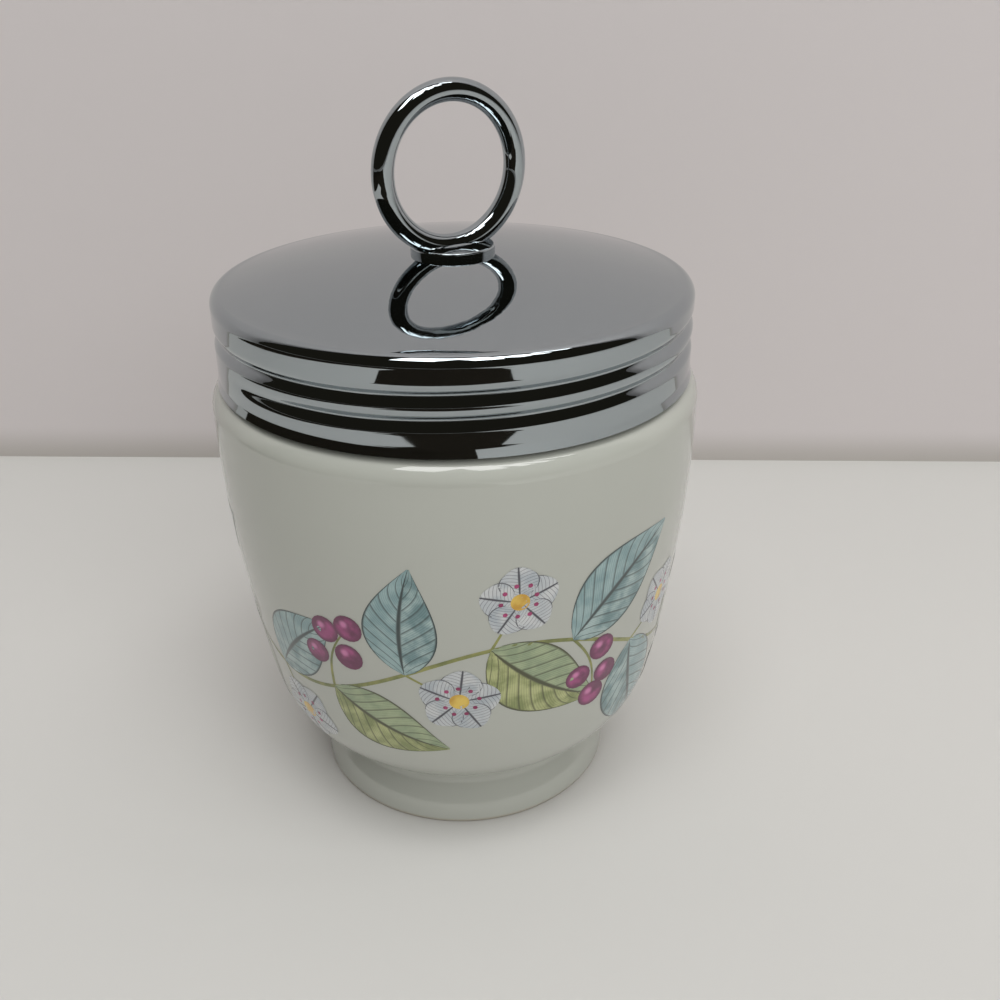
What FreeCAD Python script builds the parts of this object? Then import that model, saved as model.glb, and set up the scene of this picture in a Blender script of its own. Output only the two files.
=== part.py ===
"""Porcelain egg coddler: a footed porcelain cup with a moulded screw thread on its neck, and a pressed
metal lid with a rolled thread in its skirt and a ring handle riveted through its top.

Millimetres, +Z up. The origin is the middle of the foot, on the surface that it stands on. The ring
handle stands in the XZ plane when the lid is screwed home. All angles are turned from +X towards +Y.
"""
import FreeCAD, Part
import math
import os

from FreeCAD import Vector

# Foot of the cup
foot_radius = 22.3
foot_edge_round = 0.6
foot_ring_width = 3.8
foot_recess_depth = 3.6
foot_recess_round = 1.6
foot_side_radius = 21.8
foot_side_height = 3.6
foot_waist_radius = 20.2
foot_waist_height = 6.8
foot_height = 8.55

# Bowl of the cup, as the radius at each height above the foot
crease_radius = 21.2
crease_direction = (1.0, 0.5)
bowl_turn_radius = 24.2
bowl_turn_rise = 2.12
bowl_low_radius = 26.8
bowl_low_rise = 5.05
bowl_mid_radius = 30.3
bowl_mid_rise = 16.45
bowl_high_radius = 32.25
bowl_high_rise = 30.95
belly_radius = 33.3
belly_rise = 48.65
shoulder_rise = 55.05
shoulder_round = 2.6
floor_thickness = 4.3
wall_thickness = 3.1
mouth_radius = 27.3
mouth_depth = 14.0
rim_round = 1.2

# Lid shell, drawn from the shoulder of the cup upwards
lid_radius = 32.0
lid_side_height = 12.0
sheet_thickness = 0.5
lid_corner_round = 1.5
dome_height = 3.4
seat_radius = 6.1
skirt_flare = 0.22
skirt_flare_height = 1.2
skirt_lift = 0.5
rim_clearance = 0.3

# Screw thread: a groove rolled into the lid and a ridge moulded on the neck
thread_pitch = 3.0
groove_depth = 0.6
groove_round = 1.5
groove_top_drop = 3.5
groove_start_angle = 16.0
groove_turns = 1.55
ridge_turns = 1.2
ridge_tip_half_width = 0.15
ridge_root_half_width = 0.7
ridge_root_depth = 0.4
fade_angle = 34.0
neck_clearance = 0.4
ridge_clearance = 0.35

# Ring handle
ring_radius = 9.6
wire_radius = 1.45
flange_radius = 5.6
flange_thickness = 0.9
flange_edge_round = 0.25
ring_sink = 0.1
shank_radius = 2.0
hole_clearance = 0.05
washer_radius = 5.0
washer_thickness = 0.8
rivet_head_radius = 3.4
rivet_head_height = 1.1

# Heights that follow from the sizes above
shoulder_height = foot_height + shoulder_rise
skirt_bottom = shoulder_height + skirt_lift
corner_top = skirt_bottom + lid_side_height
dome_top = corner_top + dome_height
dome_underside = dome_top - sheet_thickness
flange_top = dome_top + flange_thickness
ring_height = flange_top + ring_radius - ring_sink
washer_bottom = dome_underside - washer_thickness
groove_start_height = corner_top - groove_top_drop

# Radii that follow: the neck and its ridge fit inside the lid with the named clearances
skirt_inner_radius = lid_radius - sheet_thickness
neck_radius = skirt_inner_radius - groove_depth - neck_clearance
ridge_tip_radius = skirt_inner_radius - ridge_clearance
hole_radius = shank_radius + hole_clearance

path_points_per_turn = 24
wall_shares = (0.3, 0.5, 0.7, 0.86)
smoothing_rounds = 40
cut_margin = 2.0


def line(start, end):
    """A straight edge of a lathe outline between two (radius, height) points."""
    return Part.LineSegment(Vector(start[0], 0, start[1]), Vector(end[0], 0, end[1])).toShape()


def arc(start, middle, end):
    """A round edge of a lathe outline through three (radius, height) points."""
    points = [Vector(radius, 0, height) for radius, height in (start, middle, end)]
    return Part.Arc(*points).toShape()


def corner_arc(centre, round_radius, start_angle, end_angle):
    """A round corner of a lathe outline, from one angle to another about its centre, in degrees."""
    def at(angle):
        turn = math.radians(angle)
        return (centre[0] + round_radius * math.cos(turn), centre[1] + round_radius * math.sin(turn))
    return arc(at(start_angle), at((start_angle + end_angle) / 2), at(end_angle))


def smooth(points, first_direction, last_direction):
    """A smooth curve through (radius, height) points, with the directions it has at its two ends."""
    places = [Vector(radius, 0, height) for radius, height in points]
    spans = [(after - before).Length for before, after in zip(places, places[1:])]
    slopes = [(after - before) / span for before, after, span in zip(places, places[1:], spans)]
    tangents = [Vector(first_direction[0], 0, first_direction[1]).normalize()]
    tangents += [(before + after) / 2 for before, after in zip(slopes, slopes[1:])]
    tangents += [Vector(last_direction[0], 0, last_direction[1]).normalize()]
    for _ in range(smoothing_rounds):
        for here in range(1, len(places) - 1):
            before, after = spans[here - 1], spans[here]
            pull = (slopes[here - 1] * after + slopes[here] * before) * 3
            pull -= tangents[here - 1] * after + tangents[here + 1] * before
            tangents[here] = pull / (2 * (before + after))
    poles, knots = [places[0]], [0.0]
    for here, span in enumerate(spans):
        poles.append(places[here] + tangents[here] * (span / 3))
        poles.append(places[here + 1] - tangents[here + 1] * (span / 3))
        knots.append(knots[-1] + span)
    poles.append(places[-1])
    repeats = [4] + [2] * (len(knots) - 2) + [4]
    curve = Part.BSplineCurve()
    curve.buildFromPolesMultsKnots(poles, repeats, knots, False, 3)
    return curve


def turned(edges):
    """The solid that a closed outline sweeps when it is turned once round the Z axis."""
    face = Part.Face(Part.Wire(Part.__sortEdges__(edges)))
    solid = face.revolve(Vector(0, 0, 0), Vector(0, 0, 1), 360)
    return solid if solid.Volume > 0 else solid.reversed()


def fade(share):
    """Rises smoothly from 0 to 1 as share goes from 0 to 1."""
    clipped = min(1.0, max(0.0, share))
    return clipped * clipped * (3 - 2 * clipped)


def thread_path(radius, end_radius, start_angle, start_height, turns):
    """A helix that falls as it turns clockwise seen from above, and moves to end_radius at both ends."""
    count = max(8, int(round(turns * path_points_per_turn)))
    points = []
    for step in range(count + 1):
        turned_by = 360.0 * turns * step / count
        from_end = min(turned_by, 360.0 * turns - turned_by)
        here = end_radius + (radius - end_radius) * fade(from_end / fade_angle)
        angle = math.radians(start_angle - turned_by)
        height = start_height - thread_pitch * turned_by / 360.0
        points.append(Vector(here * math.cos(angle), here * math.sin(angle), height))
    curve = Part.BSplineCurve()
    curve.interpolate(points)
    return Part.Wire([curve.toShape()])


def swept(path, outline):
    """A solid swept along a thread path. outline is a closed wire in the path's starting half-plane."""
    shell = Part.BRepOffsetAPI.MakePipeShell(path)
    shell.setBiNormalMode(Vector(0, 0, 1))
    shell.add(outline, False, False)
    shell.build()
    shell.makeSolid()
    solid = shell.shape()
    return solid if solid.Volume > 0 else solid.reversed()


def path_start(path):
    """The first point of a thread path, its outward direction there and its tangent."""
    edge = path.Edges[0]
    point = edge.valueAt(edge.FirstParameter)
    tangent = edge.tangentAt(edge.FirstParameter)
    outward = Vector(tangent.y, -tangent.x, 0).normalize()
    if outward.dot(Vector(point.x, point.y, 0)) < 0:
        outward = outward.negative()
    return point, outward, tangent


def tube(path, radius):
    """A round tube along a thread path."""
    point, _, tangent = path_start(path)
    return swept(path, Part.Wire([Part.Circle(point, tangent, radius).toShape()]))


def bowl_curve():
    """The outside of the bowl, from the crease above the foot to the widest place of the belly."""
    points = [
        (crease_radius, foot_height),
        (bowl_turn_radius, foot_height + bowl_turn_rise),
        (bowl_low_radius, foot_height + bowl_low_rise),
        (bowl_mid_radius, foot_height + bowl_mid_rise),
        (bowl_high_radius, foot_height + bowl_high_rise),
        (belly_radius, foot_height + belly_rise),
    ]
    return smooth(points, crease_direction, (0.0, 1.0))


def inner_points(outside):
    """Points one wall inside the bowl, from above its floor up to the belly."""
    first, last = outside.FirstParameter, outside.LastParameter
    points = []
    for share in wall_shares:
        here = first + share * (last - first)
        point, tangent = outside.value(here), outside.tangent(here)[0]
        inward = Vector(-tangent.z, 0, tangent.x)
        place = point + inward * wall_thickness
        points.append((place.x, place.z))
    return points


def cup():
    """The porcelain: foot with its recess, bowl, shoulder, and the neck with its moulded ridge."""
    outside = bowl_curve()
    belly_height = foot_height + belly_rise
    floor_height = foot_recess_depth + floor_thickness
    rim_top = inside_of_dome(neck_radius) - rim_clearance
    mouth_bottom = rim_top - mouth_depth
    shoulder_centre = (belly_radius - shoulder_round, shoulder_height - shoulder_round)
    recess_radius = foot_radius - foot_edge_round - foot_ring_width
    inside_points = [(0.0, floor_height)] + inner_points(outside) + [(mouth_radius, mouth_bottom)]
    inside = smooth(inside_points, (1.0, 0.0), (0.0, 1.0))
    edges = [
        line((0, foot_recess_depth), (recess_radius - foot_recess_round, foot_recess_depth)),
        corner_arc((recess_radius - foot_recess_round, foot_recess_depth - foot_recess_round),
                   foot_recess_round, 90, 0),
        line((recess_radius, foot_recess_depth - foot_recess_round), (recess_radius, 0)),
        line((recess_radius, 0), (foot_radius - foot_edge_round, 0)),
        corner_arc((foot_radius - foot_edge_round, foot_edge_round), foot_edge_round, -90, 0),
        smooth([(foot_radius, foot_edge_round), (foot_side_radius, foot_side_height),
                (foot_waist_radius, foot_waist_height), (crease_radius, foot_height)],
               (0.0, 1.0), crease_direction).toShape(),
        outside.toShape(),
        line((belly_radius, belly_height), (belly_radius, shoulder_height - shoulder_round)),
        corner_arc(shoulder_centre, shoulder_round, 0, 90),
        line((belly_radius - shoulder_round, shoulder_height), (neck_radius, shoulder_height)),
        line((neck_radius, shoulder_height), (neck_radius, rim_top - rim_round)),
        corner_arc((neck_radius - rim_round, rim_top - rim_round), rim_round, 0, 90),
        line((neck_radius - rim_round, rim_top), (mouth_radius + rim_round, rim_top)),
        corner_arc((mouth_radius + rim_round, rim_top - rim_round), rim_round, 90, 180),
        line((mouth_radius, rim_top - rim_round), (mouth_radius, mouth_bottom)),
        inside.toShape(),
        line((0, floor_height), (0, foot_recess_depth)),
    ]
    return turned(edges).fuse(neck_ridge())


def neck_ridge():
    """The moulded ridge on the neck. It lies half a pitch above the lid's groove, so they interlock."""
    sunk = neck_radius - ridge_root_depth
    height = ridge_tip_radius - sunk
    start_angle = groove_start_angle - (groove_turns - ridge_turns) * 180.0
    start_height = (groove_start_height + thread_pitch / 2
                    - thread_pitch * (groove_turns - ridge_turns) / 2)
    path = thread_path(sunk, sunk - height, start_angle, start_height, ridge_turns)
    point, outward, _ = path_start(path)
    up = Vector(0, 0, 1)
    corners = [
        point - up * ridge_root_half_width,
        point + outward * height - up * ridge_tip_half_width,
        point + outward * height + up * ridge_tip_half_width,
        point + up * ridge_root_half_width,
    ]
    return swept(path, Part.makePolygon(corners + corners[:1]))


def dome_arc(drop, inset):
    """The dome between its flat seat and its corner, lowered by drop and pulled in by inset."""
    edge_radius = lid_radius - lid_corner_round
    sphere = dome_sphere()
    def at(radius):
        return sphere_height(sphere, radius) - drop
    middle = (seat_radius + edge_radius) / 2
    return arc((seat_radius, at(seat_radius)), (middle, at(middle)), (edge_radius, corner_top - inset))


def dome_sphere():
    """Radius and centre height of the sphere through the edge of the seat and the top of the corner."""
    edge_radius = lid_radius - lid_corner_round
    span = edge_radius ** 2 - seat_radius ** 2
    centre = (dome_top ** 2 - corner_top ** 2 - span) / (2 * dome_height)
    return math.hypot(seat_radius, dome_top - centre), centre


def sphere_height(sphere, radius):
    """Height of a sphere's upper side at a radius from the axis."""
    return sphere[1] + math.sqrt(sphere[0] ** 2 - radius ** 2)


def inside_of_dome(radius):
    """Height of the lid's underside at a radius."""
    return sphere_height(dome_sphere(), radius) - sheet_thickness


def lid_outline(inset):
    """The lid's outline down to the axis, pulled in by inset: 0 outside, the sheet's thickness inside."""
    side = lid_radius - inset
    corner = lid_corner_round - inset
    corner_centre = (lid_radius - lid_corner_round, corner_top - lid_corner_round)
    flare_top = skirt_bottom + skirt_flare_height
    bottom = (side + skirt_flare, skirt_bottom)
    return [
        line((0, dome_top - inset), (seat_radius, dome_top - inset)),
        dome_arc(inset, inset),
        corner_arc(corner_centre, corner, 90, 0),
        line((side, corner_centre[1]), (side, flare_top)),
        line((side, flare_top), bottom),
        line(bottom, (0, skirt_bottom)),
        line((0, skirt_bottom), (0, dome_top - inset)),
    ]


def lid_shell():
    """The pressed lid: one thin sheet with a domed top, a round corner and a thread rolled in its skirt."""
    centre_radius = lid_radius + groove_round - groove_depth
    end_radius = lid_radius + groove_round + sheet_thickness
    path = thread_path(centre_radius, end_radius, groove_start_angle, groove_start_height, groove_turns)
    outside = turned(lid_outline(0.0)).cut(tube(path, groove_round))
    inside = turned(lid_outline(sheet_thickness)).cut(tube(path, groove_round + sheet_thickness))
    hole = Part.makeCylinder(hole_radius, dome_height + cut_margin,
                             Vector(0, 0, dome_top - dome_height))
    return outside.cut(inside).cut(hole)


def ring_loop():
    """The wire ring, ground flat underneath where it is brazed to the flange."""
    ring = Part.makeTorus(ring_radius, wire_radius, Vector(0, 0, ring_height), Vector(0, 1, 0))
    below = Part.makeBox(4 * ring_radius, 4 * ring_radius, 4 * ring_radius,
                         Vector(-2 * ring_radius, -2 * ring_radius, flange_top - 4 * ring_radius))
    return ring.cut(below)


def ring_collar():
    """The turned flange under the ring, with the shank that passes through the lid and its rivet head."""
    head_bottom = washer_bottom - rivet_head_height
    edges = [
        line((0, flange_top), (flange_radius - flange_edge_round, flange_top)),
        corner_arc((flange_radius - flange_edge_round, flange_top - flange_edge_round),
                   flange_edge_round, 90, 0),
        line((flange_radius, flange_top - flange_edge_round), (flange_radius, dome_top)),
        line((flange_radius, dome_top), (shank_radius, dome_top)),
        line((shank_radius, dome_top), (shank_radius, washer_bottom)),
        line((shank_radius, washer_bottom), (rivet_head_radius, washer_bottom)),
        smooth([(rivet_head_radius, washer_bottom), (0, head_bottom)], (0.0, -1.0), (-1.0, 0.0)).toShape(),
        line((0, head_bottom), (0, flange_top)),
    ]
    return turned(edges)


def backing_washer():
    """The plain washer between the lid's underside and the rivet head."""
    disc = Part.makeCylinder(washer_radius, washer_thickness, Vector(0, 0, washer_bottom))
    bore = Part.makeCylinder(hole_radius, washer_thickness, Vector(0, 0, washer_bottom))
    return disc.cut(bore)


def main():
    os.makedirs("parts", exist_ok=True)
    nodes = {
        "cup": cup(),
        "lid_shell": lid_shell(),
        "ring_loop": ring_loop(),
        "ring_collar": ring_collar(),
        "backing_washer": backing_washer(),
    }
    for name, shape in nodes.items():
        box = shape.BoundBox
        print(name, "valid", shape.isValid(), "solids", len(shape.Solids), "volume", round(shape.Volume, 1),
              "z", round(box.ZMin, 2), round(box.ZMax, 2), "x", round(box.XMin, 2), round(box.XMax, 2))
        shape.exportStep(f"parts/{name}.step")


main()
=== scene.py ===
# %% [markdown]
# # A porcelain egg coddler
#
# An egg coddler is a small porcelain cup that stands in hot water with an egg inside. A chromed lid
# screws onto its neck, and a wire ring on the lid lifts it out with a fork. The construction is already
# modelled at its real size, so this lesson only dresses it: glaze, chrome, a printed garland, a table
# and soft light. Everything is in metres, with the middle of the foot at the origin and Z up.

import bisect
import math
import random

import bmesh
import bpy
from mathutils import Matrix, Vector
from mathutils.bvhtree import BVHTree


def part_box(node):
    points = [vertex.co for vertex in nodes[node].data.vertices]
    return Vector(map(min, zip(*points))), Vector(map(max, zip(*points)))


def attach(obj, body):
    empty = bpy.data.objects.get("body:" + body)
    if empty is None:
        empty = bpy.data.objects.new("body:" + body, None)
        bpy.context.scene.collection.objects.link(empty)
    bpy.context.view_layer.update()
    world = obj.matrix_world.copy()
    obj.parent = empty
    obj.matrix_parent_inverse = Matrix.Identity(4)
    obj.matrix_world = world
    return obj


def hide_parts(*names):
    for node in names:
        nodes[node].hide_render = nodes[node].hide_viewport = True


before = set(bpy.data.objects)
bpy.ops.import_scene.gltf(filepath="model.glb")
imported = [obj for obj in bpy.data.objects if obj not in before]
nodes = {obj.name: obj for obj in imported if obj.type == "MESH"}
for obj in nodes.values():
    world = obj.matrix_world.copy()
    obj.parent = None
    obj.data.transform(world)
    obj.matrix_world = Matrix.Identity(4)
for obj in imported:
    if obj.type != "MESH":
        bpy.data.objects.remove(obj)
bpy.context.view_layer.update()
MM = 0.001
print("construction:", ", ".join(sorted(nodes)))

# %% Sizes that the later steps share
cup_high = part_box("cup")[1]
lid_low, lid_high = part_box("lid_shell")
ring_low, ring_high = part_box("ring_loop")
flange_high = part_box("ring_collar")[1]
print(f"cup {cup_high.z / MM:.1f} mm high, lid from {lid_low.z / MM:.1f} to {lid_high.z / MM:.1f} mm")

# %% [markdown]
# ## The camera
#
# The photograph was taken from a little above, close to the object, with an ordinary lens. The
# distance, the height and the tilt were found from the round edges of the lid, the neck and the foot:
# circles that turn into ellipses in a picture give all three. A camera is placed by its position and by
# three directions: right, up and backwards.

# %% Place the camera
camera_distance = 0.14205
camera_height = 0.11615
camera_yaw = 0.0419
camera_pitch = 0.4806
camera_roll = -0.0088
ring_turn = math.radians(28.7)
focal_pixels = 1080.0
picture_pixels = 1000.0
sensor_mm = 36.0

forward = Vector((
    math.sin(camera_yaw) * math.cos(camera_pitch),
    math.cos(camera_yaw) * math.cos(camera_pitch),
    -math.sin(camera_pitch),
))
level_right = Vector((math.cos(camera_yaw), -math.sin(camera_yaw), 0.0))
level_up = level_right.cross(forward)
right = math.cos(camera_roll) * level_right + math.sin(camera_roll) * level_up
up = -math.sin(camera_roll) * level_right + math.cos(camera_roll) * level_up
to_ring_frame = Matrix.Rotation(-ring_turn, 4, "Z")
axes = Matrix((right, up, -forward)).transposed().to_4x4()
place = Matrix.Translation((0.0, -camera_distance, camera_height))

camera = bpy.data.objects.new("camera", bpy.data.cameras.new("camera"))
bpy.context.scene.collection.objects.link(camera)
camera.matrix_world = to_ring_frame @ place @ axes
camera.data.sensor_width = sensor_mm
camera.data.lens = sensor_mm * focal_pixels / picture_pixels
camera.data.clip_start = 0.005
bpy.context.scene.camera = camera
bpy.context.scene.view_settings.view_transform = "Standard"
print("camera at", [round(value / MM, 1) for value in camera.matrix_world.translation], "mm")

# %% [markdown]
# ## Helpers for node materials
#
# A material is a small network of nodes. These helpers keep the later cells short: one adds a node with
# its settings, one starts a new material and hands back its main shader.

# %% Node helpers
def add_node(tree, kind, **settings):
    node = tree.nodes.new(kind)
    for name, value in settings.items():
        setattr(node, name, value)
    return node


def new_material(name):
    material = bpy.data.materials.new(name)
    material.use_nodes = True
    return material, material.node_tree, material.node_tree.nodes["Principled BSDF"]


def dress(obj, material):
    obj.data.materials.clear()
    obj.data.materials.append(material)


def feed(tree, value, socket):
    if isinstance(value, bpy.types.NodeSocket):
        tree.links.new(value, socket)
    else:
        socket.default_value = value


def calculate(tree, operation, *values):
    node = add_node(tree, "ShaderNodeMath", operation=operation)
    for value, socket in zip(values, node.inputs):
        feed(tree, value, socket)
    return node.outputs[0]


def blend(tree, share, first, second):
    node = add_node(tree, "ShaderNodeMix", data_type="RGBA")
    for value, number in ((share, 0), (first, 6), (second, 7)):
        feed(tree, value, node.inputs[number])
    return node.outputs[2]


def remap(tree, value, low, high, to_low=0.0, to_high=1.0):
    node = add_node(tree, "ShaderNodeMapRange", interpolation_type="SMOOTHSTEP")
    feed(tree, value, node.inputs["Value"])
    settings = {"From Min": low, "From Max": high, "To Min": to_low, "To Max": to_high}
    for name, number in settings.items():
        node.inputs[name].default_value = number
    return node.outputs["Result"]


def coordinates(tree, kind):
    source = add_node(tree, "ShaderNodeTexCoord").outputs[kind]
    parts = add_node(tree, "ShaderNodeSeparateXYZ")
    tree.links.new(source, parts.inputs[0])
    return source, parts.outputs


def new_group(name, *outputs):
    group = bpy.data.node_groups.new(name, "ShaderNodeTree")
    for output in outputs:
        group.interface.new_socket(output, in_out="OUTPUT", socket_type="NodeSocketFloat")
    return group, add_node(group, "NodeGroupOutput")


def use_group(tree, group):
    return add_node(tree, "ShaderNodeGroup", node_tree=group).outputs


def srgb(red, green, blue):
    def linear(value):
        share = value / 255.0
        return share / 12.92 if share <= 0.04045 else ((share + 0.055) / 1.055) ** 2.4
    return (linear(red), linear(green), linear(blue), 1.0)


# %% [markdown]
# ## Effects that several materials share
#
# Each effect is a node group that hands out plain values from 0 to 1. "brush wash" is the uneven tone of
# a printed or painted colour. "leaf lines" draws a midrib, side veins and an outline from the leaf's own
# coordinates. "metal skin" holds the faint smudges and the slight unevenness of thin polished metal.

# %% Shared effects
brush_wash, leave = new_group("brush_wash", "Wash")
place = coordinates(brush_wash, "Object")[0]
noise = add_node(brush_wash, "ShaderNodeTexNoise")
brush_wash.links.new(place, noise.inputs["Vector"])
noise.inputs["Scale"].default_value = 420.0
noise.inputs["Detail"].default_value = 4.0
brush_wash.links.new(remap(brush_wash, noise.outputs["Fac"], 0.35, 0.68), leave.inputs["Wash"])

leaf_lines, leave = new_group("leaf_lines", "Lines", "Half")
side_veins = 9.0
vein_slant = 4.5
hatches_per_vein = 5.0
parts = coordinates(leaf_lines, "UV")[1]
along, across = parts[0], parts[1]
off_rib = calculate(leaf_lines, "ABSOLUTE", calculate(leaf_lines, "SUBTRACT", across, 0.5))
midrib = remap(leaf_lines, off_rib, 0.012, 0.05, 1.0, 0.0)
slant = calculate(leaf_lines, "SUBTRACT", calculate(leaf_lines, "MULTIPLY", along, side_veins),
                  calculate(leaf_lines, "MULTIPLY", off_rib, vein_slant))
in_vein = calculate(leaf_lines, "ABSOLUTE",
                    calculate(leaf_lines, "SUBTRACT", calculate(leaf_lines, "FRACT", slant), 0.5))
veins = calculate(leaf_lines, "MULTIPLY", remap(leaf_lines, in_vein, 0.02, 0.13, 1.0, 0.0), 0.75)
hatch_wave = calculate(leaf_lines, "FRACT",
                       calculate(leaf_lines, "MULTIPLY", slant, hatches_per_vein))
hatching = calculate(leaf_lines, "MULTIPLY", remap(leaf_lines, hatch_wave, 0.3, 0.9), 0.28)
outline = remap(leaf_lines, off_rib, 0.455, 0.49)
strokes = calculate(leaf_lines, "MAXIMUM", calculate(leaf_lines, "MAXIMUM", midrib, veins),
                    calculate(leaf_lines, "MAXIMUM", outline, hatching))
leaf_lines.links.new(strokes, leave.inputs["Lines"])
leaf_lines.links.new(remap(leaf_lines, across, 0.47, 0.53), leave.inputs["Half"])

metal_skin, leave = new_group("metal_skin", "Smudge", "Waves")
place = coordinates(metal_skin, "Object")[0]
stretched = add_node(metal_skin, "ShaderNodeMapping")
metal_skin.links.new(place, stretched.inputs["Vector"])
stretched.inputs["Scale"].default_value = (1.0, 1.0, 0.15)
for output, source, scale in (("Waves", stretched.outputs[0], 330.0), ("Smudge", place, 90.0)):
    noise = add_node(metal_skin, "ShaderNodeTexNoise")
    metal_skin.links.new(source, noise.inputs["Vector"])
    noise.inputs["Scale"].default_value = scale
    noise.inputs["Detail"].default_value = 2.0
    metal_skin.links.new(remap(metal_skin, noise.outputs["Fac"], 0.3, 0.7), leave.inputs[output])
print("node groups:", [group.name for group in bpy.data.node_groups])

# %% Porcelain
# The glaze stops just above the table: the foot stood on its bare rim in the kiln.
glaze_start = 0.4 * MM
glaze_full = 0.9 * MM


def glaze(shader):
    shader.inputs["Roughness"].default_value = 0.5
    shader.inputs["Specular IOR Level"].default_value = 0.2
    shader.inputs["Coat Weight"].default_value = 1.0
    shader.inputs["Coat Roughness"].default_value = 0.03
    shader.inputs["Coat IOR"].default_value = 1.6


porcelain, tree, shader = new_material("glazed_porcelain")
glaze(shader)
parts = coordinates(tree, "Object")[1]
glazed = remap(tree, parts[2], glaze_start, glaze_full)
bare_body, glazed_body = srgb(174, 168, 154), srgb(179, 181, 172)
body = blend(tree, glazed, bare_body, glazed_body)
tree.links.new(body, shader.inputs["Base Color"])
tree.links.new(glazed, shader.inputs["Coat Weight"])
tree.links.new(remap(tree, parts[2], glaze_start, glaze_full, 0.75, 0.5), shader.inputs["Roughness"])
dress(nodes["cup"], porcelain)

# %% Metals
def new_metal(name, colour, smooth, smudged, unevenness):
    material, tree, shader = new_material(name)
    shader.inputs["Base Color"].default_value = colour
    shader.inputs["Metallic"].default_value = 1.0
    skin = use_group(tree, metal_skin)
    tree.links.new(remap(tree, skin["Smudge"], 0.0, 1.0, smooth, smudged), shader.inputs["Roughness"])
    bump = add_node(tree, "ShaderNodeBump")
    bump.inputs["Distance"].default_value = unevenness
    tree.links.new(skin["Waves"], bump.inputs["Height"])
    tree.links.new(bump.outputs[0], shader.inputs["Normal"])
    return material


chrome = new_metal("bright_chrome", (0.40, 0.44, 0.46, 1.0), 0.02, 0.04, 0.003 * MM)
steel = new_metal("plain_steel", (0.5, 0.5, 0.48, 1.0), 0.28, 0.42, 0.02 * MM)
for name in ("ring_loop", "ring_collar"):
    dress(nodes[name], chrome)
dress(nodes["backing_washer"], steel)

# %% [markdown]
# ## The lid
#
# The lid is pressed from one thin sheet of metal and chromed. A roller pushes the screw thread into
# its skirt, so from outside the thread shows as soft valleys between round beads. Polished metal shows
# every facet, so the lid gets its own fine mesh: half its outline is drawn once as points, spun round
# the axis, and then the roller's work is done by pulling the skirt's points inwards along the helix.

# %% Outline of the lid
sheet = 0.5 * MM
corner_round = 1.5 * MM
dome_rise = 3.4 * MM
seat_radius = 6.1 * MM
hole_radius = 2.05 * MM
flare_width = 0.22 * MM
flare_height = 1.2 * MM
lid_radius = lid_high.x - flare_width
corner_top = lid_high.z - dome_rise
dome_steps = 28
corner_steps = 14
skirt_row = 0.13 * MM
around_steps = 320
print(f"lid radius {lid_radius / MM:.2f} mm, corner at {corner_top / MM:.2f} mm")


def dome_height(radius):
    edge = lid_radius - corner_round
    span = edge ** 2 - seat_radius ** 2
    centre = (lid_high.z ** 2 - corner_top ** 2 - span) / (2 * dome_rise)
    dome_radius = math.hypot(seat_radius, lid_high.z - centre)
    return centre + math.sqrt(dome_radius ** 2 - max(radius, seat_radius) ** 2)


def lid_side(inset):
    """Points of the lid's outline from its hole to its lip, pulled in by inset."""
    points = []
    for step in range(dome_steps + 1):
        radius = hole_radius + (lid_radius - corner_round - hole_radius) * step / dome_steps
        points.append((radius, dome_height(radius) - inset))
    centre = (lid_radius - corner_round, corner_top - corner_round)
    for step in range(1, corner_steps + 1):
        angle = math.pi / 2 * (1 - step / corner_steps)
        reach = corner_round - inset
        points.append((centre[0] + reach * math.cos(angle), centre[1] + reach * math.sin(angle)))
    rows = int((centre[1] - lid_low.z) / skirt_row)
    for row in range(1, rows + 1):
        height = centre[1] - (centre[1] - lid_low.z) * row / rows
        flare = flare_width * max(0.0, 1 - (height - lid_low.z) / flare_height)
        points.append((lid_radius - inset + flare, height))
    return points


# %% Spin the lid
def smooth_object(shape, name):
    mesh = bpy.data.meshes.new(name)
    shape.to_mesh(mesh)
    shape.free()
    mesh.polygons.foreach_set("use_smooth", [True] * len(mesh.polygons))
    obj = bpy.data.objects.new(name, mesh)
    bpy.context.scene.collection.objects.link(obj)
    return obj


def spin_outline(points, steps):
    shape = bmesh.new()
    corners = [shape.verts.new((radius, 0.0, height)) for radius, height in points]
    edges = [shape.edges.new(pair) for pair in zip(corners, corners[1:] + corners[:1])]
    bmesh.ops.spin(shape, geom=corners + edges, cent=(0, 0, 0), axis=(0, 0, 1), dvec=(0, 0, 0),
                   angle=2 * math.pi, steps=steps, use_merge=True, use_duplicate=False)
    return shape


lid_shape = spin_outline(lid_side(0.0) + lid_side(sheet)[::-1], around_steps)
print("lid before rolling:", len(lid_shape.verts), "points")

# %% Roll the thread
thread_pitch = 3.0 * MM
thread_start = math.radians(16.0)
thread_start_height = corner_top - 3.5 * MM
thread_turns = 1.55
thread_fade = math.radians(34.0)
valley_depth = 0.82 * MM
valley_half = 1.45 * MM
valley_bottom = 0.16
inside_share = 0.7


def valley(offset):
    """Depth of the rolled valley, from 0 to 1, at an offset from its middle: round beads, tight bottom."""
    share = abs(offset) / valley_half
    if share >= 1.0:
        return 0.0
    softened = math.sqrt(share ** 2 + valley_bottom ** 2)
    top = math.sqrt(1 + valley_bottom ** 2)
    return 1 - math.sin(math.pi / 2 * min(1.0, softened / top))


def smooth_step(share):
    clipped = min(1.0, max(0.0, share))
    return clipped * clipped * (3 - 2 * clipped)


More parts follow.
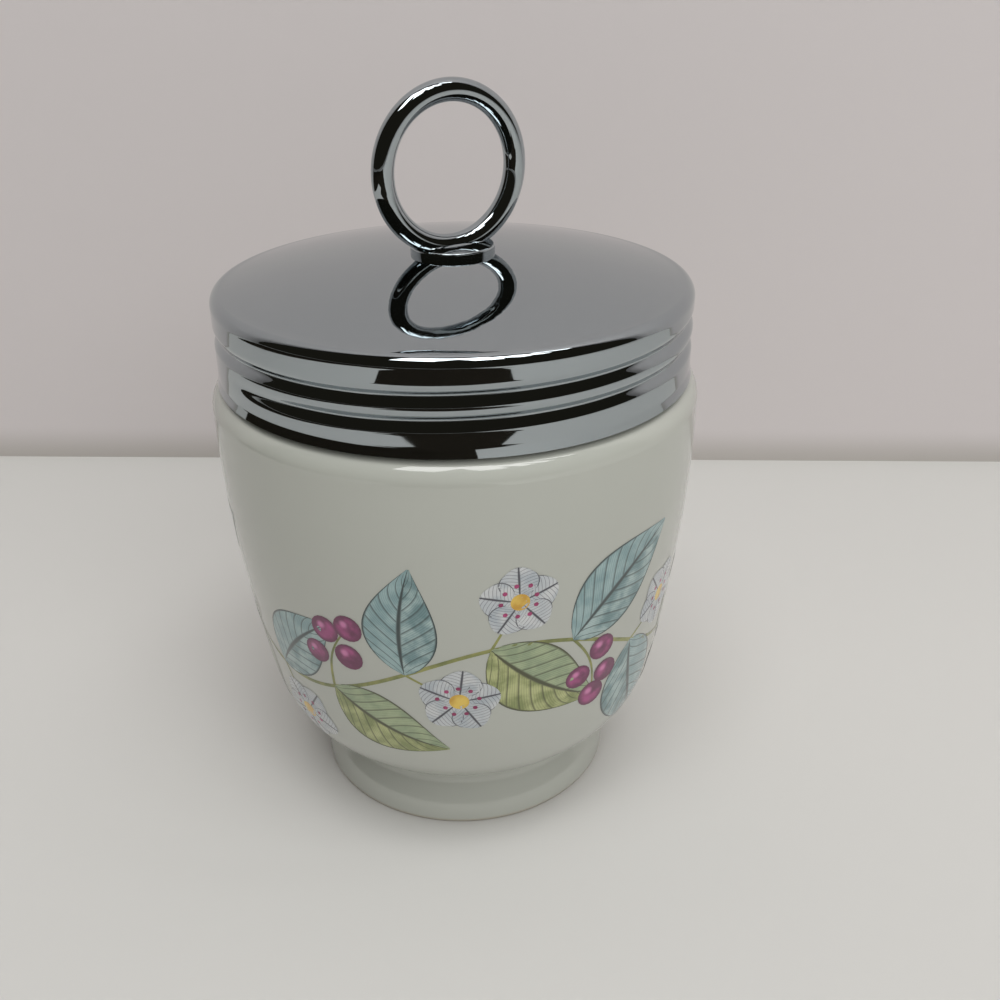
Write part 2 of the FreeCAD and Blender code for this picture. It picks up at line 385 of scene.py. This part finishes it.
def rolled_depth(angle, height):
    deepest = 0.0
    turned = (thread_start - angle) % (2 * math.pi)
    while turned <= 2 * math.pi * thread_turns:
        from_end = min(turned, 2 * math.pi * thread_turns - turned)
        middle = thread_start_height - thread_pitch * turned / (2 * math.pi)
        deepest = max(deepest, smooth_step(from_end / thread_fade) * valley(height - middle))
        turned += 2 * math.pi
    return deepest * valley_depth


for corner in lid_shape.verts:
    radius = math.hypot(corner.co.x, corner.co.y)
    if radius > lid_radius - corner_round and corner.co.z < corner_top:
        depth = rolled_depth(math.atan2(corner.co.y, corner.co.x), corner.co.z)
        if radius < lid_radius - sheet / 2:
            depth *= inside_share
        corner.co.x *= (radius - depth) / radius
        corner.co.y *= (radius - depth) / radius

bmesh.ops.recalc_face_normals(lid_shape, faces=lid_shape.faces)
lid = smooth_object(lid_shape, "lid")
lid.data.set_sharp_from_angle(angle=math.radians(50))
dress(lid, chrome)
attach(lid, "lid")
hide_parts("lid_shell")
print("lid:", len(lid.data.polygons), "faces")

# %% [markdown]
# ## The joint between ring and flange
#
# The ring is brazed to its flange. The filler metal runs along both sides of the wire and fills the two
# narrow wedges below its ends, so ring and flange flow into each other. The saddle is a skirt of ovals
# that get longer and narrower on their way up into the wire.

# %% Braze saddle
wire_radius = (ring_high.y - ring_low.y) / 2
flange_radius = flange_high.x
saddle_rise = 0.7 * MM
saddle_end_rise = 0.8 * MM
saddle_spread = 1.5 * MM
saddle_foot = 0.8 * MM
saddle_sunk = 0.35 * MM
inside_rim = 0.05 * MM
into_flange = 0.02 * MM
saddle_shape = bmesh.new()
for corner in bmesh.ops.create_grid(saddle_shape, x_segments=96, y_segments=10, size=0.5)["verts"]:
    angle, climb = 2 * math.pi * corner.co.x, corner.co.y + 0.5
    half_length = flange_radius - inside_rim + saddle_spread * climb ** 2
    half_width = wire_radius - saddle_sunk + saddle_foot * (1 - climb) ** 2
    rise = saddle_rise + saddle_end_rise * math.cos(angle) ** 2
    height = flange_high.z - into_flange + rise * climb
    corner.co = (half_length * math.cos(angle), half_width * math.sin(angle), height)
bmesh.ops.remove_doubles(saddle_shape, verts=saddle_shape.verts, dist=0.001 * MM)
bmesh.ops.recalc_face_normals(saddle_shape, faces=saddle_shape.faces)
saddle = smooth_object(saddle_shape, "braze_saddle")
dress(saddle, chrome)
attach(saddle, "lid")
print(f"wire radius {wire_radius / MM:.2f} mm, flange radius {flange_radius / MM:.2f} mm")

# %% [markdown]
# ## The printed garland
#
# The bowl carries a print under its glaze: a wavy stem with plain leaves, berries and small flowers. Every
# motif is a thin sheet, drawn flat and then wrapped on the bowl. Distances up the bowl are measured along
# its side, and a ray towards the axis finds the wall, so the sheets follow it everywhere.

# %% Measure the bowl's side
print_low = 11.0 * MM
print_high = 53.0 * MM
side_rows = 84
bpy.context.view_layer.update()
cup_mesh = nodes["cup"].data
cup_surface = BVHTree.FromPolygons(
    [nodes["cup"].matrix_world @ corner.co for corner in cup_mesh.vertices],
    [face.vertices[:] for face in cup_mesh.polygons],
)


def wall_at(angle, height):
    outward = Vector((math.cos(angle), math.sin(angle), 0.0))
    start = outward * 2 * cup_high.x + Vector((0.0, 0.0, height))
    return cup_surface.ray_cast(start, -outward)[:2]


side = []
for row in range(side_rows + 1):
    height = print_low + (print_high - print_low) * row / side_rows
    radius = wall_at(0.0, height)[0].to_2d().length
    climbed = side[-1][0] + math.hypot(radius - side[-1][1], height - side[-1][2]) if side else 0.0
    side.append((climbed, radius, height))
side_length = side[-1][0]
print(f"printed side: {side_length / MM:.1f} mm long")


def bowl_row(climb):
    """Radius and height at a distance up the bowl's side."""
    place = min(max(climb, 0.0), side_length)
    upper = min(max(1, bisect.bisect_left(side, (place,))), side_rows)
    below, above = side[upper - 1], side[upper]
    share = (place - below[0]) / (above[0] - below[0])
    return below[1] + share * (above[1] - below[1]), below[2] + share * (above[2] - below[2])


def wrap(spot, offset, lift):
    angle, climb = spot
    radius, height = bowl_row(climb + offset[1])
    place, normal = wall_at(angle + offset[0] / radius, height)
    return place + lift * normal


# %% Motif helpers
# The sheets lie above each other by a few hundredths of a millimetre, in the order of printing.
stem_lift = 0.02 * MM
leaf_lift = 0.03 * MM
petal_lift = 0.04 * MM
berry_lift = 0.05 * MM
dot_lift = 0.06 * MM


def turned(x, y, angle):
    return x * math.cos(angle) - y * math.sin(angle), x * math.sin(angle) + y * math.cos(angle)


def new_print():
    shape = bmesh.new()
    shape.loops.layers.uv.new("print")
    return shape


def lay(shape, corners, bend, spot, lift):
    """Wrap new flat corners at a spot: bend turns their two shares into offsets."""
    layer = shape.loops.layers.uv.active
    for corner in corners:
        shares = (corner.co.x + 0.5, corner.co.y + 0.5)
        for loop in corner.link_loops:
            loop[layer].uv = shares
        corner.co = wrap(spot, bend(*shares), lift)


def add_sheet(shape, columns, rows, bend, spot, lift):
    corners = bmesh.ops.create_grid(shape, x_segments=columns, y_segments=rows, size=0.5)["verts"]
    lay(shape, corners, bend, spot, lift)


def add_disc(shape, radius, middle, spot, lift, sides=18):
    disc = bmesh.ops.create_circle(shape, cap_ends=True, cap_tris=True, radius=0.5, segments=sides)

    def bend(first, second):
        return middle[0] + 2 * radius * (first - 0.5), middle[1] + 2 * radius * (second - 0.5)
    lay(shape, disc["verts"], bend, spot, lift)


def add_strip(shape, path, width, steps, spot):
    """A narrow strip along path(share), half as wide at its end."""
    small_step = 0.001

    def bend(along, across):
        x, y = path(along)
        next_x, next_y = path(along + small_step)
        length = math.hypot(next_x - x, next_y - y)
        offset = (across - 0.5) * width * (1 - 0.5 * along)
        return x - (next_y - y) / length * offset, y + (next_x - x) / length * offset
    add_sheet(shape, steps, 1, bend, spot, stem_lift)


def add_leaf(shape, spot, direction, length, width, curl):
    """A pointed leaf, widest below its middle, bowed sideways by curl."""
    def bend(along, across):
        swelling = 0.03 + 0.97 * math.sin(math.pi * min(along, 1.0) ** 0.75)
        bow = curl * length * along * (1 - along)
        return turned(length * along, (across - 0.5) * width * swelling + bow, direction)
    add_sheet(shape, 24, 8, bend, spot, leaf_lift)


def finish_print(shape, name, material):
    for face in shape.faces:
        face.normal_update()
        if face.normal.dot(face.calc_center_median()) < 0:
            face.normal_flip()
    obj = smooth_object(shape, name)
    dress(obj, material)
    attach(obj, "cup")
    print(f"{name}: {len(obj.data.polygons)} faces")


# %% Printed colours
def new_ink(name, deep, light):
    """A printed colour under the glaze, uneven like a wash."""
    material, tree, shader = new_material(name)
    glaze(shader)
    wash = use_group(tree, brush_wash)["Wash"]
    colour = blend(tree, wash, deep, light)
    tree.links.new(colour, shader.inputs["Base Color"])
    return material, tree, shader, colour


def new_leaf_ink(name, deep, light, line, other_half):
    """A drawn leaf or petal: lines over a wash that changes colour across the midrib."""
    half_strength = 0.55
    material, tree, shader, colour = new_ink(name, deep, light)
    lines = use_group(tree, leaf_lines)
    both = blend(tree, calculate(tree, "MULTIPLY", lines["Half"], half_strength), colour, other_half)
    tree.links.new(blend(tree, lines["Lines"], both, line), shader.inputs["Base Color"])
    return material


def new_berry_ink(name, deep, light, shine):
    """A round berry: dark rim and a small light spot towards its upper left."""
    berry_middle, shine_middle = (0.5, 0.5), (0.38, 0.64)
    material, tree, shader, colour = new_ink(name, deep, light)
    parts = coordinates(tree, "UV")[1]
    distances = []
    for middle in (berry_middle, shine_middle):
        steps = [calculate(tree, "POWER", calculate(tree, "SUBTRACT", part, value), 2.0)
                 for part, value in zip(parts, middle)]
        distances.append(calculate(tree, "SQRT", calculate(tree, "ADD", *steps)))
    rimmed = blend(tree, remap(tree, distances[0], 0.28, 0.48), colour, deep)
    lit = blend(tree, remap(tree, distances[1], 0.04, 0.2, 0.8, 0.0), rimmed, shine)
    tree.links.new(lit, shader.inputs["Base Color"])
    return material


teal_leaf = new_leaf_ink("teal_leaf_ink", srgb(104, 136, 138), srgb(170, 192, 190), srgb(44, 58, 58),
                         srgb(146, 176, 178))
olive_leaf = new_leaf_ink("olive_leaf_ink", srgb(132, 142, 84), srgb(186, 190, 132), srgb(66, 68, 38),
                          srgb(150, 172, 150))
plum_berry = new_berry_ink("plum_berry_ink", srgb(98, 24, 70), srgb(164, 62, 124), srgb(214, 130, 178))
dark_berry = new_berry_ink("dark_berry_ink", srgb(22, 26, 34), srgb(56, 62, 74), srgb(120, 128, 142))
petal_ink = new_leaf_ink("petal_ink", srgb(178, 186, 192), srgb(212, 214, 214), srgb(66, 66, 74),
                         srgb(200, 204, 206))
eye_ink = new_ink("eye_ink", srgb(196, 148, 40), srgb(226, 192, 84))[0]
dot_ink = new_ink("dot_ink", srgb(132, 26, 78), srgb(170, 58, 110))[0]
stem_ink = new_ink("stem_ink", srgb(104, 112, 56), srgb(146, 146, 80))[0]

# %% Draw the garland
chance = random.Random(12)
waves = 3
leaf_count = 18
motif_order = ("flower", "plum", "flower", "dark", "tendril")
wave_middle = 23.0 * MM
wave_rise = 5.5 * MM
wave_phase = 0.9
first_leaf = 0.3
leaf_length, leaf_width, leaf_bow = 19.0 * MM, 11.0 * MM, 0.22
teal_share = 0.62
flower_stalk = 8.0 * MM
front = math.radians(-90.0) - ring_turn
wave_radius = bowl_row(wave_middle)[0]
inks = {"stems": stem_ink, "teal_leaves": teal_leaf, "olive_leaves": olive_leaf, "petals": petal_ink,
        "eyes": eye_ink, "dots": dot_ink, "plum_berries": plum_berry, "dark_berries": dark_berry}
prints = {name: new_print() for name in inks}


def wave(angle):
    return wave_middle + wave_rise * math.sin(waves * (angle - front) + wave_phase)


def wave_slope(angle):
    return math.atan(wave_rise * waves / wave_radius * math.cos(waves * (angle - front) + wave_phase))


def straight_stalk(end):
    def path(share):
        return end[0] * share, end[1] * share
    return path


def add_flower(spot, middle, radius, turn):
    """Five round petals above each other, a yellow eye and a ring of dots around it."""
    petal_count, dot_count, dot_radius = 5, 9, 0.32 * MM
    for petal in range(petal_count):
        direction = turn + 2 * math.pi * petal / petal_count

        def bend(along, across):
            swelling = math.sqrt(max(0.02, 1 - ((along - 0.58) / 0.56) ** 2))
            rounding = 0.16 * radius * along * (2 * across - 1) ** 2
            x, y = turned(radius * (0.14 + 0.86 * along) - rounding,
                          (across - 0.5) * radius * swelling, direction)
            return middle[0] + x, middle[1] + y
        add_sheet(prints["petals"], 8, 8, bend, spot, petal_lift + 0.002 * MM * petal)
    add_disc(prints["eyes"], 0.24 * radius, middle, spot, berry_lift)
    for dot in range(dot_count):
        direction = turn + 2 * math.pi * dot / dot_count
        x, y = turned(0.46 * radius * chance.uniform(0.85, 1.15), 0.0, direction)
        add_disc(prints["dots"], dot_radius, (middle[0] + x, middle[1] + y), spot, dot_lift, sides=10)


def add_berries(name, spot, direction, count):
    """A bowed stalk with berries left and right of it and one at its end."""
    length, bow, stalk_width, aside = 12.0 * MM, 1.3 * MM, 0.45 * MM, 2.3 * MM

    def stalk(share):
        return turned(length * share, bow * math.sin(math.pi * share), direction)
    add_strip(prints["stems"], stalk, stalk_width, 12, spot)
    for number in range(count):
        share = 0.4 + 0.6 * number / (count - 1)
        x, y = stalk(share)
        sideways = (-1) ** number * (0.0 if number == count - 1 else aside)
        move_x, move_y = turned(0.0, sideways, direction)
        radius = chance.uniform(1.8, 2.2) * MM
        add_disc(prints[name], radius, (x + move_x, y + move_y), spot, berry_lift)


def add_tendril(spot, direction):
    """A curl that winds inwards to a quarter of its first radius."""
    curl_radius, curl_turns, tendril_width = 3.0 * MM, 1.5, 0.34 * MM

    def path(share):
        radius = curl_radius * (1 - 0.75 * share)
        angle = direction + math.pi + curl_turns * 2 * math.pi * share
        x, y = turned(curl_radius, 0.0, direction)
        return x + radius * math.cos(angle), y + radius * math.sin(angle)
    add_strip(prints["stems"], path, tendril_width, 44, spot)


stem_columns = 360
stem_width = 0.6 * MM
main_stem = bmesh.ops.create_grid(prints["stems"], x_segments=stem_columns, y_segments=1, size=0.5)
for corner in main_stem["verts"]:
    angle = 2 * math.pi * (corner.co.x + 0.5)
    offset = corner.co.y * stem_width / math.cos(wave_slope(angle))
    corner.co = wrap((angle, wave(angle)), (0.0, offset), stem_lift)

for number in range(leaf_count):
    angle = front + 2 * math.pi * (number + first_leaf) / leaf_count
    spot = (angle, wave(angle))
    upward = 1 if number % 2 else -1
    direction = wave_slope(angle) + upward * math.radians(chance.uniform(42, 58))
    leaves = prints["teal_leaves" if chance.random() < teal_share else "olive_leaves"]
    size = chance.uniform(0.88, 1.1)
    add_leaf(leaves, spot, direction, leaf_length * size, leaf_width * size, leaf_bow * upward)
    direction = wave_slope(angle) - upward * math.radians(chance.uniform(50, 70))
    kind = motif_order[number % len(motif_order)]
    if kind == "plum":
        add_berries("plum_berries", spot, direction, 4)
    elif kind == "flower":
        middle = turned(flower_stalk, 0.0, direction)
        add_strip(prints["stems"], straight_stalk(middle), 0.4 * MM, 6, spot)
        add_flower(spot, middle, chance.uniform(5.2, 5.8) * MM, chance.uniform(0, 1))
    elif kind == "dark":
        add_berries("dark_berries", spot, direction, 5)
    else:
        add_tendril(spot, direction)

for name, shape in prints.items():
    finish_print(shape, f"print_{name}", inks[name])

# %% [markdown]
# ## The stage
#
# The object stands on a pale sheet in front of a pale wall. Both are plain. The room behind the camera
# is dark, and polished metal shows it, so flat dark cards lie on the floor where the pale sheet ends.
# Only mirror-like reflections see the cards: they cast no shadow and the camera looks through them.

# %% Floor and wall
# The wall's lowest few millimetres are painted darker, a painted shade where wall and floor meet, and from
# behind it can be seen through.
floor_half = 3.0
wall_gap = 0.1033
wall_turn = math.radians(-4.3)
wall_height = 3.0
painted_shade_height = 9.0 * MM


def stage_sheet(name, corners, material):
    mesh = bpy.data.meshes.new(name)
    sheet_shape = bmesh.new()
    sheet_shape.faces.new([sheet_shape.verts.new(corner) for corner in corners])
    sheet_shape.to_mesh(mesh)
    sheet_shape.free()
    obj = bpy.data.objects.new(name, mesh)
    bpy.context.scene.collection.objects.link(obj)
    obj.data.materials.append(material)
    return obj


floor_paint, tree, shader = new_material("floor_paint")
shader.inputs["Base Color"].default_value = srgb(208, 207, 203)
shader.inputs["Roughness"].default_value = 0.9
shader.inputs["Specular IOR Level"].default_value = 0.1

wall_paint, tree, shader = new_material("wall_paint")
# Painted shade: the wall's colour darkens over its lowest few millimetres, towards the floor.
above_painted_shade = remap(tree, coordinates(tree, "Object")[1][2], 0.0, painted_shade_height)
wall_colour_and_shade = blend(tree, above_painted_shade, srgb(186, 181, 176), srgb(212, 206, 205))
tree.links.new(wall_colour_and_shade, shader.inputs["Base Color"])
shader.inputs["Roughness"].default_value = 0.95
shader.inputs["Specular IOR Level"].default_value = 0.0
facing = add_node(tree, "ShaderNodeNewGeometry")
see_through = add_node(tree, "ShaderNodeBsdfTransparent")
one_sided = add_node(tree, "ShaderNodeMixShader")
tree.links.new(facing.outputs["Backfacing"], one_sided.inputs[0])
tree.links.new(shader.outputs[0], one_sided.inputs[1])
tree.links.new(see_through.outputs[0], one_sided.inputs[2])
tree.links.new(one_sided.outputs[0], tree.nodes["Material Output"].inputs["Surface"])

floor = stage_sheet(
    "floor",
    [(-floor_half, -floor_half, 0), (floor_half, -floor_half, 0), (floor_half, floor_half, 0),
     (-floor_half, floor_half, 0)],
    floor_paint,
)
wall_corners = [(-floor_half, wall_gap, 0), (floor_half, wall_gap, 0), (floor_half, wall_gap, wall_height),
                (-floor_half, wall_gap, wall_height)]
to_wall = to_ring_frame @ Matrix.Rotation(wall_turn, 4, "Z")
wall = stage_sheet("wall", [to_wall @ Vector(corner) for corner in wall_corners], wall_paint)
print("wall normal", wall.data.polygons[0].normal)

# %% Dark cards
# Each card: its left and right end, its near and its far edge.
card_height = 0.5 * MM
card_ends = 1.2
card_paint, tree, shader = new_material("card_paint")
shader.inputs["Base Color"].default_value = srgb(40, 36, 30)
shader.inputs["Roughness"].default_value = 0.9
shader.inputs["Specular IOR Level"].default_value = 0.0
cards = {
    "card_front": (-card_ends, 0.12, -card_ends, -0.26),
    "card_left": (-card_ends, -0.235, -0.26, 0.09),
    "card_middle": (-0.122, 0.088, -0.26, -0.165),
}
for name, (left, right_end, near, far) in cards.items():
    corners = [(left, near, card_height), (right_end, near, card_height), (right_end, far, card_height),
               (left, far, card_height)]
    card = stage_sheet(name, [to_ring_frame @ Vector(corner) for corner in corners], card_paint)
    card.visible_camera = False
    card.visible_diffuse = False
    card.visible_transmission = False
    card.visible_shadow = False
print("cards:", ", ".join(cards))

# %% Lamps
# Each panel: its direction from the front towards +X, its width as an angle, and its two elevations.
panel_height = 1.0
panel_glow = 5.4
panels = [(-29, 46, 60, 84), (22, 32, 60, 84), (47, 14, 60, 78), (63, 12, 60, 75), (86, 8, 60, 72)]


def add_panel(name, direction, width, low, high):
    far, near = panel_height / math.tan(math.radians(low)), panel_height / math.tan(math.radians(high))
    middle = (far + near) / 2
    lamp = bpy.data.lights.new(name, "AREA")
    lamp.shape = "RECTANGLE"
    lamp.size = 2 * middle * math.tan(math.radians(width / 2))
    lamp.size_y = far - near
    lamp.energy = panel_glow * math.pi * lamp.size * lamp.size_y
    obj = bpy.data.objects.new(name, lamp)
    bpy.context.scene.collection.objects.link(obj)
    obj.matrix_world = (to_ring_frame @ Matrix.Rotation(math.radians(direction), 4, "Z")
                        @ Matrix.Translation((0, -middle, panel_height)))
    return lamp.size * lamp.size_y


# A low fill from the front right lights the foot. Polished metal doesn't show it.
fill_place = Vector((0.35, -0.9, 0.75))
fill_size = 0.8
fill_glow = 2.4
fill_lamp = bpy.data.lights.new("fill", "AREA")
fill_lamp.shape = "SQUARE"
fill_lamp.size = fill_size
fill_lamp.energy = fill_glow * math.pi * fill_size ** 2
fill = bpy.data.objects.new("fill", fill_lamp)
bpy.context.scene.collection.objects.link(fill)
fill_turn = fill_place.to_track_quat("Z", "Y").to_matrix().to_4x4()
fill.matrix_world = to_ring_frame @ Matrix.Translation(fill_place) @ fill_turn
fill.visible_glossy = False

for number, panel in enumerate(panels):
    area = add_panel(f"panel_{number + 1}", *panel)
    print(f"panel {number + 1}: {area:.3f} square metres")

# %% World
# Soft light comes mostly from the front right. Reflections show a dark room instead, and the camera
# sees a pale backdrop above the wall.
soft_light = 0.18
soft_share = 1.0
soft_from = to_ring_frame.to_3x3() @ Vector((0.55, -0.72, 0.42)).normalized()
world = bpy.data.worlds.new("room")
bpy.context.scene.world = world
world.use_nodes = True
tree = world.node_tree
tree.nodes.clear()
path = add_node(tree, "ShaderNodeLightPath")
soft = add_node(tree, "ShaderNodeBackground")
soft.inputs["Color"].default_value = (1.0, 1.0, 1.0, 1.0)
direction = add_node(tree, "ShaderNodeTexCoord").outputs["Generated"]
towards = add_node(tree, "ShaderNodeVectorMath", operation="DOT_PRODUCT")
tree.links.new(direction, towards.inputs[0])
towards.inputs[1].default_value = soft_from
gain = calculate(tree, "MULTIPLY_ADD", towards.outputs["Value"], soft_share, 1.0)
tree.links.new(calculate(tree, "MULTIPLY", gain, soft_light), soft.inputs["Strength"])
room = add_node(tree, "ShaderNodeBackground")
room.inputs["Color"].default_value = srgb(36, 34, 28)
pale = add_node(tree, "ShaderNodeBackground")
pale.inputs["Color"].default_value = srgb(190, 188, 186)
glossy_mix = add_node(tree, "ShaderNodeMixShader")
camera_mix = add_node(tree, "ShaderNodeMixShader")
output = add_node(tree, "ShaderNodeOutputWorld")
tree.links.new(path.outputs["Is Glossy Ray"], glossy_mix.inputs[0])
tree.links.new(soft.outputs[0], glossy_mix.inputs[1])
tree.links.new(room.outputs[0], glossy_mix.inputs[2])
tree.links.new(path.outputs["Is Camera Ray"], camera_mix.inputs[0])
tree.links.new(glossy_mix.outputs[0], camera_mix.inputs[1])
tree.links.new(pale.outputs[0], camera_mix.inputs[2])
tree.links.new(camera_mix.outputs[0], output.inputs["Surface"])
